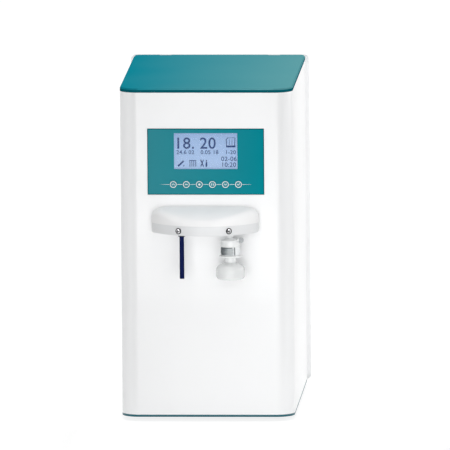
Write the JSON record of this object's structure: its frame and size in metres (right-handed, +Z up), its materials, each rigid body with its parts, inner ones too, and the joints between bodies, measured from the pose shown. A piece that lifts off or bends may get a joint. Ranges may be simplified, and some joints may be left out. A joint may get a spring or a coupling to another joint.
{
  "type": "ultrapure water system",
  "caption": "Bench-top ultrapure water system: tall white housing with a hinged teal lid, keypad and display, a dispensing head with tube and final filter, and the water train inside.",
  "frame": {"origin": "on the floor under the middle of the whole object's footprint, head and rear ports counted", "axes": "+X to the right as seen from the front, -Y out of the front wall, +Z up"},
  "size_m": [0.312, 0.54, 0.582],
  "materials": {
    "teal_gloss": "gloss teal paint, lid and base edge",
    "teal_membrane": "printed teal membrane over a plastic plate",
    "white_shell": "fine powder coat, white",
    "white_plastic": "moulded white plastic",
    "clear_window": "clear display lens",
    "lcd": "pale blue liquid crystal face",
    "circuit": "green solder mask",
    "black_plastic": "black moulded plastic",
    "rubber": "moulded rubber",
    "steel": "zinc plated and stainless steel",
    "brass": "turned brass posts",
    "grey_collar": "dark grey moulded collar",
    "frosted": "frosted translucent plastic",
    "pleats": "pleated filter membrane",
    "blue_tube": "dark blue polyethylene tube",
    "blue_cap": "blue moulded cap",
    "pale_hose": "white polyethylene tube",
    "red_rocker": "red rocker",
    "pump_black": "black painted casting"
  },
  "bodies": {
    "housing": {"base_plate": "teal_gloss", "feet": "rubber", "foot_screws": "steel", "base_screws": "steel", "housing_shell": "white_shell", "rear_panel": "white_shell", "rear_panel_screws": "steel", "hinge_brackets": "steel", "hinge_pins": "steel", "control_panel": "teal_membrane", "display_window": "clear_window", "lcd_module": "lcd", "control_board": "circuit", "board_posts": "brass", "key_switches": "black_plastic", "dispensing_head": "white_plastic", "head_tray": "white_plastic", "head_screws": "steel", "head_mount_screws": "steel", "tube_connector": "black_plastic", "outlet_tube": "blue_tube", "filter_adapter": "white_plastic", "filter_housing": "frosted", "filter_collar": "grey_collar", "filter_element": "pleats", "filter_outlet": "frosted", "filter_bell": "frosted", "chassis_plate": "steel", "cartridge_shelves": "steel", "pretreatment_cartridges": "white_plastic", "polishing_cartridges": "white_plastic", "cartridge_caps": "blue_cap", "uv_chamber": "steel", "uv_end_caps": "black_plastic", "membrane_housings": "white_plastic", "membrane_caps": "white_plastic", "membrane_clips": "white_plastic", "booster_pump": "pump_black", "booster_motor": "steel", "circulation_pump": "pump_black", "circulation_motor": "steel", "solenoid_valves": "black_plastic", "resistivity_cell": "white_plastic", "power_supply": "steel", "elbow_fittings": "white_plastic", "supply_tubing": "pale_hose", "product_tubing": "blue_tube", "rear_ports": "white_plastic", "port_nuts": "white_plastic", "power_inlet": "black_plastic", "switch_frame": "black_plastic"},
    "lid": {"lid": "teal_gloss"},
    "vent_knob": {"vent_knob": "white_plastic"},
    "power_rocker": {"power_rocker": "red_rocker"},
    "key_1": {"key_1": "teal_membrane"},
    "key_2": {"key_2": "teal_membrane"},
    "key_3": {"key_3": "teal_membrane"},
    "key_4": {"key_4": "teal_membrane"},
    "key_5": {"key_5": "teal_membrane"},
    "key_6": {"key_6": "teal_membrane"}
  },
  "joints": [
    {"name": "lid_hinge", "type": "hinge", "parent": "housing", "child": "lid", "pos_m": [0, 0.242, 0.5785], "axis": [-1, 0, 0], "range_deg": [0, 88]},
    {"name": "key_1_press", "type": "slide", "parent": "housing", "child": "key_1", "axis": [0, 1, 0], "range_m": [0, 0.0006], "stiffness_N_per_m": 400},
    {"name": "key_2_press", "type": "slide", "parent": "housing", "child": "key_2", "axis": [0, 1, 0], "range_m": [0, 0.0006], "stiffness_N_per_m": 400},
    {"name": "key_3_press", "type": "slide", "parent": "housing", "child": "key_3", "axis": [0, 1, 0], "range_m": [0, 0.0006], "stiffness_N_per_m": 400},
    {"name": "key_4_press", "type": "slide", "parent": "housing", "child": "key_4", "axis": [0, 1, 0], "range_m": [0, 0.0006], "stiffness_N_per_m": 400},
    {"name": "key_5_press", "type": "slide", "parent": "housing", "child": "key_5", "axis": [0, 1, 0], "range_m": [0, 0.0006], "stiffness_N_per_m": 400},
    {"name": "key_6_press", "type": "slide", "parent": "housing", "child": "key_6", "axis": [0, 1, 0], "range_m": [0, 0.0006], "stiffness_N_per_m": 400},
    {"name": "vent_turn", "type": "hinge", "parent": "housing", "child": "vent_knob", "pos_m": [0.0438, -0.242, 0.3242], "axis": [0.9397, -0.342, 0], "range_deg": [0, 180]},
    {"name": "rocker_tilt", "type": "hinge", "parent": "housing", "child": "power_rocker", "pos_m": [0.092, 0.245, 0.214], "axis": [-1, 0, 0], "range_deg": [0, 20]}
  ]
}
